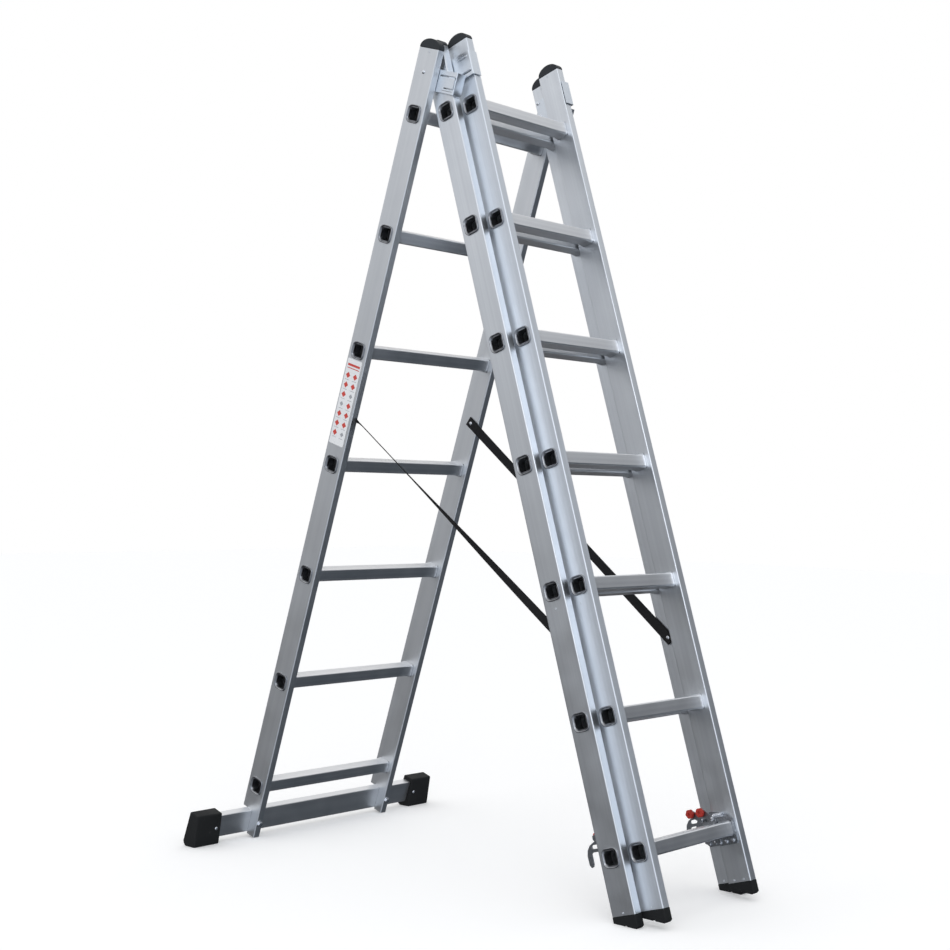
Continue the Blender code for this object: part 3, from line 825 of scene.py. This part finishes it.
bolt_head = hexagon_bolt_mesh()
bolt_end = turned("bolt_end", [(0.0, 0.0070), (0.0032, 0.0070), (0.0040, 0.0062), (0.0040, 0.0052),
                               (0.0066, 0.0052), (0.0075, 0.0042), (0.0075, 0.0)], 12)
for word, side in sides:
    place = rear_place @ facing((side * bolt_x, -rear["depth"] / 2, bolt_height), (0, -1, 0))
    add_piece(f"bar_bolt_{word}_head", bolt_head, place, "rear_section", bright_zinc,
              "zinc_steel", f"bar_bolt_{word}")
    fasten(f"bar_nut_{word}", bolt_end, rear, (side * bolt_x, bar_front + bar_depth, bolt_height),
           (0, 1, 0))
    fasten(f"shoe_rivet_{word}", rivet_mesh, rear, (side * shoe_rivet[0], *shoe_rivet[1:]),
           (0, -1, 0.15))
    fasten(f"rear_bracket_rivet_{word}", rivet_mesh, rear,
           (side * rear["width"] / 2, 0.0, bracket_rivet_height), (side, 0, 0))
    for section in sections:
        outer = side * section["width"] / 2
        inner = side * (section["width"] / 2 - section["flange"])
        pin_y, pin_z = cap_pins[section["name"]]
        for face, x, way in (("outer", outer, side), ("inner", inner, -side)):
            fasten(f"{section['name']}_cap_pin_{word}_{face}", pin_mesh, section,
                   (x, pin_y, pin_z), (way, 0, 0), stile_aluminium)
            for number, y in enumerate(() if section is rear else (0.0,) if face == "outer"
                                       else (-0.012, 0.012)):
                fasten(f"{section['name']}_foot_pin_{word}_{face}_{number + 1}", pin_mesh, section,
                       (x, y, -section["foot"] + foot_pin_rise), (way, 0, 0), stile_aluminium)
        if section is not rear:
            fasten(f"{section['name']}_stop_dimple_{word}", pin_mesh, section,
                   (outer, 0.0 if section is middle else 0.005, stop_height), (side, 0, 0),
                   stile_aluminium)

# ==== Top brackets =========================================================================
# Bent galvanised sheet. The hinge brackets are riveted inside the rear stiles and wrap the
# middle section; the guide brackets sit on the middle stiles and wrap the front section. Each
# has pressed louvres beside its slots.
sheet = 0.002
lip_width = 0.027


def cut_out(mesh, tools, name):
    """Take the shapes in tools out of mesh and give back the result."""
    solid = bpy.data.objects.new(name + "_blank", mesh)
    tool_mesh = bpy.data.meshes.new(name + "_tool")
    bmesh.ops.recalc_face_normals(tools, faces=tools.faces)
    tools.to_mesh(tool_mesh)
    tools.free()
    tool = bpy.data.objects.new(name + "_tool", tool_mesh)
    for obj in (solid, tool):
        bpy.context.scene.collection.objects.link(obj)
    modifier = solid.modifiers.new("slots", "BOOLEAN")
    modifier.operation = "DIFFERENCE"
    modifier.solver = "EXACT"
    modifier.use_self = True
    modifier.object = tool
    bpy.context.view_layer.update()
    result = bmesh.new()
    result.from_object(solid, bpy.context.evaluated_depsgraph_get())
    for obj in (solid, tool):
        bpy.data.objects.remove(obj)
    return result


def box_into(bm, low, high):
    centre = [(a + b) / 2 for a, b in zip(low, high)]
    size = [abs(b - a) for a, b in zip(low, high)]
    bmesh.ops.create_cube(bm, size=1.0,
                          matrix=Matrix.Translation(centre) @ Matrix.Diagonal((*size, 1.0)))


def bracket_mesh(name, side, plate_x, back, front_y, low, high, slots, louvres):
    """Slots are (y, z) boxes cut through the plate; louvres are raised ridges on its outside."""
    inner, lip = plate_x - sheet, plate_x - lip_width
    outline = [(plate_x, back)]
    for i in range(5):
        turn = math.radians(90.0 * i / 4)
        outline.append((plate_x - 0.0026 + 0.0026 * math.cos(turn),
                        front_y + 0.0026 - 0.0026 * math.sin(turn)))
    outline += [(lip, front_y), (lip, front_y + sheet), (inner - 0.0008, front_y + sheet),
                (inner, front_y + sheet + 0.0008), (inner, back)]
    bm = bmesh.new()
    foot_ring, head_ring = [[bm.verts.new((side * x, y, z)) for x, y in outline]
                            for z in (low, high)]
    join_rings(bm, [foot_ring, head_ring])
    bm.faces.new(foot_ring)
    bm.faces.new(list(reversed(head_ring)))
    bmesh.ops.recalc_face_normals(bm, faces=bm.faces)
    blank = bpy.data.meshes.new(name)
    bm.to_mesh(blank)
    bm.free()
    tools = bmesh.new()
    for (y0, z0), (y1, z1) in slots:
        box_into(tools, (side * (plate_x - 0.0035), y0, z0), (side * (plate_x + 0.0035), y1, z1))
    bm = cut_out(blank, tools, name)
    bmesh.ops.remove_doubles(bm, verts=bm.verts, dist=1e-6)
    for y0, y1, z, rise in louvres:
        section_points = [(z - 0.0022, 0.0), (z - 0.0012, rise), (z + 0.0012, rise), (z + 0.0022, 0.0)]
        ends = []
        for y, share in ((y0, 0.0), (y0 + 0.003, 1.0), (y1 - 0.003, 1.0), (y1, 0.0)):
            ends.append([bm.verts.new((side * (plate_x - 0.0002 + lift * share), y, height))
                         for height, lift in section_points])
        for first, second in zip(ends, ends[1:]):
            for i in range(3):
                bm.faces.new((first[i], first[i + 1], second[i + 1], second[i]))
    bmesh.ops.dissolve_limit(bm, angle_limit=math.radians(1.0), verts=bm.verts, edges=bm.edges)
    bevel_sharp(bm, 0.0004, 50.0, 2)
    return mesh_from(bm, name, 30.0)


for word, side in sides:
    plate = rear["width"] / 2 - rear["flange"] - 0.0006
    slots = [((-0.0860, 0.0960), (-0.0350, 0.0983)), ((-0.0860, 0.0702), (-0.0540, 0.0725)),
             ((-0.0860, 0.0702), (-0.0838, 0.0983))]
    mesh = bracket_mesh(f"hinge_bracket_{word}", side, plate, 0.012, -0.0880, 0.060, 0.110, slots,
                        [(-0.084, -0.036, 0.1010, 0.0012), (-0.084, -0.050, 0.0672, 0.0012)])
    keep_flats(add_piece(f"hinge_bracket_{word}_sheet", mesh, rear_place, "rear_section",
                         sheet_zinc, "zinc_steel", f"hinge_bracket_{word}"))
    plate = middle["width"] / 2 - middle["flange"] - 0.0018
    slots = [((-0.0740, 0.1095), (-0.0460, 0.1125)), ((-0.0780, 0.0685), (-0.0440, 0.0710))]
    mesh = bracket_mesh(f"guide_bracket_{word}", side, plate, 0.026, -0.0825, 0.060, 0.119,
                        slots,
                        [(-0.0760, -0.0440, 0.1065, 0.0016), (-0.0780, -0.0420, 0.0740, 0.0016)])
    keep_flats(add_piece(f"guide_bracket_{word}_sheet", mesh, middle_place, "middle_section",
                         sheet_zinc, "zinc_steel", f"guide_bracket_{word}"))
    for number, height in enumerate((0.112, 0.078)):
        fasten(f"guide_rivet_{word}_{number + 1}", rivet_mesh, middle,
               (side * (plate - sheet), 0.019, height), (-side, 0, 0))

# ==== Rung hooks ===========================================================================
# Four pressed steel hooks threaded on the bottom rungs, each arched over the next section's
# rung. Two bolts under the rung and a pivot bolt for the latch hold the plates together.
hook_plate = 0.0035
latch_plate = 0.003
bottom_rung = -rung_pitch * (rung_count - 1)
latch_pivot = (0.027, 0.026)
hook_bolts = ((-0.0120, -0.0265), (0.0060, -0.0270), (0.0230, -0.0270))
spring_start = (-0.0040, 0.0320)
spring_inset = 0.0055


def softened_copy(node, place, bevel, over, name):
    """The node's own solid, cleaned of its triangles and with its pressed edges rounded."""
    bm = bmesh.new()
    bm.from_mesh(frame["nodes"][node].data)
    bmesh.ops.transform(bm, matrix=place.inverted(), verts=bm.verts)
    bmesh.ops.remove_doubles(bm, verts=bm.verts, dist=2e-6)
    bmesh.ops.dissolve_limit(bm, angle_limit=math.radians(1.0), verts=bm.verts, edges=bm.edges)
    bevel_sharp(bm, bevel, over, 2)
    return mesh_from(bm, name, 50.0)


def coil_mesh(name, radius, wire, length, turns):
    """A helical spring along +Y with its ends closed."""
    bm = bmesh.new()
    rings = []
    steps = 20 * turns
    for k in range(steps + 1):
        turn = 2 * math.pi * k / 20
        centre = Vector((radius * math.cos(turn), length * k / steps, radius * math.sin(turn)))
        outward = Vector((math.cos(turn), 0.0, math.sin(turn)))
        rings.append([bm.verts.new(centre + outward * wire * math.cos(a)
                                   + Vector((0.0, wire * math.sin(a), 0.0)))
                      for a in (0.0, 1.257, 2.513, 3.770, 5.027)])
    join_rings(bm, rings)
    bm.faces.new(rings[0])
    bm.faces.new(list(reversed(rings[-1])))
    return mesh_from(bm, name, 60.0)


round_bolt = turned("round_bolt", [(0.0, 0.0030), (0.0034, 0.0030), (0.0044, 0.0024),
                                   (0.0048, 0.0012), (0.0048, 0.0)], 18)
for section in (middle, front):
    for word, side in sides:
        name = f"{section['name']}_hook_{word}"
        mesh = softened_copy(name, section["place"], 0.0009, 25.0, name)
        keep_flats(add_piece(name + "_pressing", mesh, section["place"], section["body"],
                             hook_steel, "zinc_steel", name))
        face = section["width"] / 2 - section["flange"] - 0.0003 - hook_plate
        for number, (y, z) in enumerate(hook_bolts):
            fasten(f"{name}_bolt_{number + 1}", round_bolt, section,
                   (side * face, y, bottom_rung + z), (-side, 0, 0))
        place = section["place"] @ Matrix.Translation(
            (side * (face - spring_inset), spring_start[0], bottom_rung + spring_start[1]))
        spring = coil_mesh("latch_spring", 0.0042, 0.0008, 0.026, 8)
        add_piece(f"{section['name']}_spring_{word}", spring, place, section["body"], bright_zinc,
                  "zinc_steel")

# ==== Latches and knobs ====================================================================
# A flat lever on each hook swings its toe under the hooked rung. It turns on a bolt and is pulled
# by a red moulded knob.
knob_red = moulded("knob_red", (0.50, 0.040, 0.026), (0.36, 0.024, 0.016), (0.32, 0.46), 1500.0,
                   0.15, (0.62, 0.20, 0.16))
knob_centre = (0.0515, 0.0445)


def knob_mesh(side, outer):
    """Six rounded lobes on a short hub, with a dimple in the outer end."""
    bm = bmesh.new()
    lobes = 36
    stations = ((0.0, 0.60), (0.0006, 0.72), (0.0020, 0.94), (0.0036, 1.0), (0.0072, 1.0),
                (0.0088, 0.93), (0.0094, 0.80), (0.0095, 0.40), (0.0090, 0.30), (0.0072, 0.27))
    rings = []
    for depth, share in stations:
        ring = []
        for i in range(lobes):
            turn = 2 * math.pi * i / lobes
            radius = 0.0102 * share * (1.0 + (0.055 * math.cos(6 * turn) if share > 0.5 else 0.0))
            ring.append(bm.verts.new((side * (outer - depth), radius * math.cos(turn),
                                      radius * math.sin(turn))))
        rings.append(ring)
    join_rings(bm, rings)
    bm.faces.new(list(reversed(rings[0])))
    bm.faces.new(rings[-1])
    return mesh_from(bm, "knob", 60.0)


for section in (middle, front):
    for word, side in sides:
        body = f"{section['name']}_latch_{word}"
        mesh = softened_copy(body, section["place"], 0.0007, 25.0, body)
        keep_flats(add_piece(body + "_lever", mesh, section["place"], body, hook_steel,
                             "zinc_steel", body))
        face = section["width"] / 2 - section["flange"] - hook_plate - latch_plate - 0.0006
        place = section["place"] @ Matrix.Translation((0.0, knob_centre[0],
                                                       bottom_rung + knob_centre[1]))
        add_piece(f"{section['name']}_knob_{word}_grip", knob_mesh(side, face - 0.0003), place, body,
                  knob_red, "knob_plastic", f"{section['name']}_knob_{word}")
        place = section["place"] @ facing((side * face, latch_pivot[0], bottom_rung + latch_pivot[1]),
                                          (-side, 0, 0))
        add_piece(f"{body}_pivot_bolt", round_bolt, place, body, bright_zinc, "zinc_steel")

# ==== Restraint straps =====================================================================
# Two lengths of black polyester webbing, riveted inside the rear and middle stiles, that stop the legs
# spreading. The left one is turned edge-on below its upper rivet.
strap_width = 0.025
strap_thickness = 0.0015
strap_rear_end = (0.2105, -0.008, -0.715)
strap_middle_end = (0.1800, 0.006, -1.241)
strap_tail = 0.012
weft_turns, warp_turns = 2513.0, 3142.0


def webbing_material():
    mat, tree, shader, _, marks = handled("strap_webbing")
    weave_coords = tree.nodes.new("ShaderNodeTexCoord").outputs["UV"]
    parts = tree.nodes.new("ShaderNodeSeparateXYZ")
    tree.links.new(weave_coords, parts.inputs["Vector"])
    across, along = [
        arithmetic(tree, "SINE", arithmetic(tree, "MULTIPLY", parts.outputs[axis], turns), 0.0)
        for axis, turns in (("X", weft_turns), ("Y", warp_turns))]
    weave = arithmetic(tree, "MULTIPLY", across, along)
    height = arithmetic(tree, "ADD", weave, arithmetic(tree, "MULTIPLY", across, 0.5))
    thread = map_between(tree, weave, 0.0, 1.0, -1.0, 1.0)
    woven = mix_colours(tree, thread, (0.006, 0.006, 0.007), (0.014, 0.014, 0.016))
    dusty = mix_colours(tree, map_between(tree, marks["Smudge"], 0.0, 0.35), woven,
                        (0.020, 0.020, 0.021))
    shader.inputs["Specular IOR Level"].default_value = 0.2
    finish_with(tree, shader, dusty, map_between(tree, marks["Speckle"], 0.62, 0.85), height, 0.35,
                0.0003)
    return mat


strap_webbing = webbing_material()


def strap_mesh(name, start, end, twist):
    """Webbing with rounded selvedges; twist gives its turn in degrees at a share of its length."""
    along = (end - start).normalized()
    flat_across = along.cross(Vector((1.0, 0.0, 0.0))).normalized()
    flat_thick = along.cross(flat_across).normalized()
    start, end = start - along * strap_tail, end + along * strap_tail
    length = (end - start).length
    half_section = [(-0.5, 0.0), (-0.47, 0.45), (-0.40, 0.5), (-0.2, 0.5), (0.0, 0.5), (0.2, 0.5),
                    (0.40, 0.5), (0.47, 0.45), (0.5, 0.0)]
    section_points = half_section + [(a, -b) for a, b in reversed(half_section[1:-1])]
    bm = bmesh.new()
    uv = bm.loops.layers.uv.new("weave")
    steps = 72
    rings = []
    for k in range(steps + 1):
        share = k / steps
        turn = math.radians(twist(share))
        across = flat_across * math.cos(turn) + flat_thick * math.sin(turn)
        thick = flat_thick * math.cos(turn) - flat_across * math.sin(turn)
        centre = start.lerp(end, share)
        rings.append([bm.verts.new(centre + across * a * strap_width + thick * b * strap_thickness)
                      for a, b in section_points])
    count = len(section_points)
    for k in range(steps):
        for i in range(count):
            j = (i + 1) % count
            face = bm.faces.new((rings[k][i], rings[k][j], rings[k + 1][j], rings[k + 1][i]))
            corners = ((i, k), (i + 1, k), (i + 1, k + 1), (i, k + 1))
            for loop, (column, row) in zip(face.loops, corners):
                a = section_points[column % count][0]
                loop[uv].uv = (a * strap_width, length * row / steps)
    bm.faces.new(list(reversed(rings[0])))
    bm.faces.new(rings[-1])
    return mesh_from(bm, name, 80.0)


def ease(share, low, high):
    t = min(1.0, max(0.0, (share - low) / (high - low)))
    return t * t * (3 - 2 * t)


def left_twist(share):
    return 58.0 * ease(share, 0.01, 0.05) - 46.0 * ease(share, 0.20, 0.95) - 12.0 * ease(share, 0.95, 0.99)


def right_twist(share):
    return 10.0 * math.sin(math.pi * share)


for word, side in sides:
    start = rear_place @ Vector((side * strap_rear_end[0], *strap_rear_end[1:]))
    end = middle_place @ Vector((side * strap_middle_end[0], *strap_middle_end[1:]))
    mesh = strap_mesh(f"strap_{word}", start, end, left_twist if side < 0 else right_twist)
    strap = bpy.data.objects.new(f"strap_{word}_webbing", mesh)
    bpy.context.scene.collection.objects.link(strap)
    mesh.materials.append(strap_webbing)
    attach(strap, "rear_section")
    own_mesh(strap)
    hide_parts(f"strap_{word}")
    for label, section, (x, y, z) in (("upper", rear, strap_rear_end),
                                      ("lower", middle, strap_middle_end)):
        fasten(f"strap_{word}_{label}_rivet", rivet_mesh, section,
                             (side * (x - 0.0008), y, z), (-side, 0, 0))

# ==== Sticker ==============================================================================
# A plain printed sticker on the left rear stile: a pale card with a red band and rows of small
# red and grey shapes, without words.
sticker_low, sticker_high = -0.792, -0.583
sticker_back, sticker_front = 0.027, -0.023
card_corner, card_margin = 0.003, 0.004
red_bands = ((0.0175, 0.0120), (0.0235, 0.0215))
first_row, row_pitch = 0.040, 0.0235
mark_columns = (0.0145, -0.0105)


def printed(name, colour, worn):
    mat, tree, shader, _, marks = handled(name)
    faded = mix_colours(tree, map_between(tree, marks["Smudge"], 0.0, 0.35), colour, worn)
    rubbed = mix_colours(tree, arithmetic(tree, "MULTIPLY", marks["Scuff"], 0.3), faded,
                         (0.6, 0.6, 0.6))
    finish_with(tree, shader, rubbed, map_between(tree, marks["Speckle"], 0.28, 0.42),
                marks["Smudge"], 0.05)
    return mat


sticker_card = printed("sticker_card", (0.74, 0.75, 0.76), (0.62, 0.63, 0.65))
sticker_red = printed("sticker_red", (0.55, 0.050, 0.035), (0.45, 0.06, 0.05))
sticker_grey = printed("sticker_grey", (0.32, 0.33, 0.35), (0.38, 0.39, 0.41))


def flat_patch(name, x, shapes):
    """Thin flat shapes (y, z outlines) standing just off the web."""
    bm = bmesh.new()
    for outline in shapes:
        bm.faces.new([bm.verts.new((x, y, z)) for y, z in outline])
    bmesh.ops.recalc_face_normals(bm, faces=bm.faces)
    for face in bm.faces:
        if face.normal.x > 0:
            face.normal_flip()
    mesh = bpy.data.meshes.new(name)
    bm.to_mesh(mesh)
    bm.free()
    return mesh


def diamond(y, z, reach):
    return [(y - reach, z), (y, z - reach), (y + reach, z), (y, z + reach)]


def strip(y0, y1, z0, z1):
    return [(y0, z0), (y1, z0), (y1, z1), (y0, z1)]


web_x = -rear["width"] / 2
middle_y, middle_z = (sticker_back + sticker_front) / 2, (sticker_high + sticker_low) / 2
card = [(middle_y + y, middle_z + z)
        for y, z in rounded_rectangle((sticker_back - sticker_front) / 2,
                                      (sticker_high - sticker_low) / 2, card_corner, 4)]
red_shapes = [strip(sticker_front + card_margin, sticker_back - card_margin, sticker_high - lower,
                    sticker_high - upper) for lower, upper in red_bands]
grey_shapes = []
for row in range(7):
    z = sticker_high - first_row - row * row_pitch
    for column, y in enumerate(mark_columns):
        if (row + column) % 4 == 3:
            grey_shapes.append(diamond(y, z, 0.0060))
        else:
            red_shapes.append(diamond(y, z, 0.0076))
        grey_shapes.append(strip(y - 0.0075, y + 0.0075, z - 0.0112, z - 0.0102))
for label, offset, shapes, mat in (("card", 0.00015, [card], sticker_card),
                                   ("red_marks", 0.00030, red_shapes, sticker_red),
                                   ("grey_marks", 0.00030, grey_shapes, sticker_grey)):
    add_piece("sticker_" + label, flat_patch("sticker_" + label, web_x - offset, shapes), rear_place,
              "rear_section", mat, "cap_plastic")
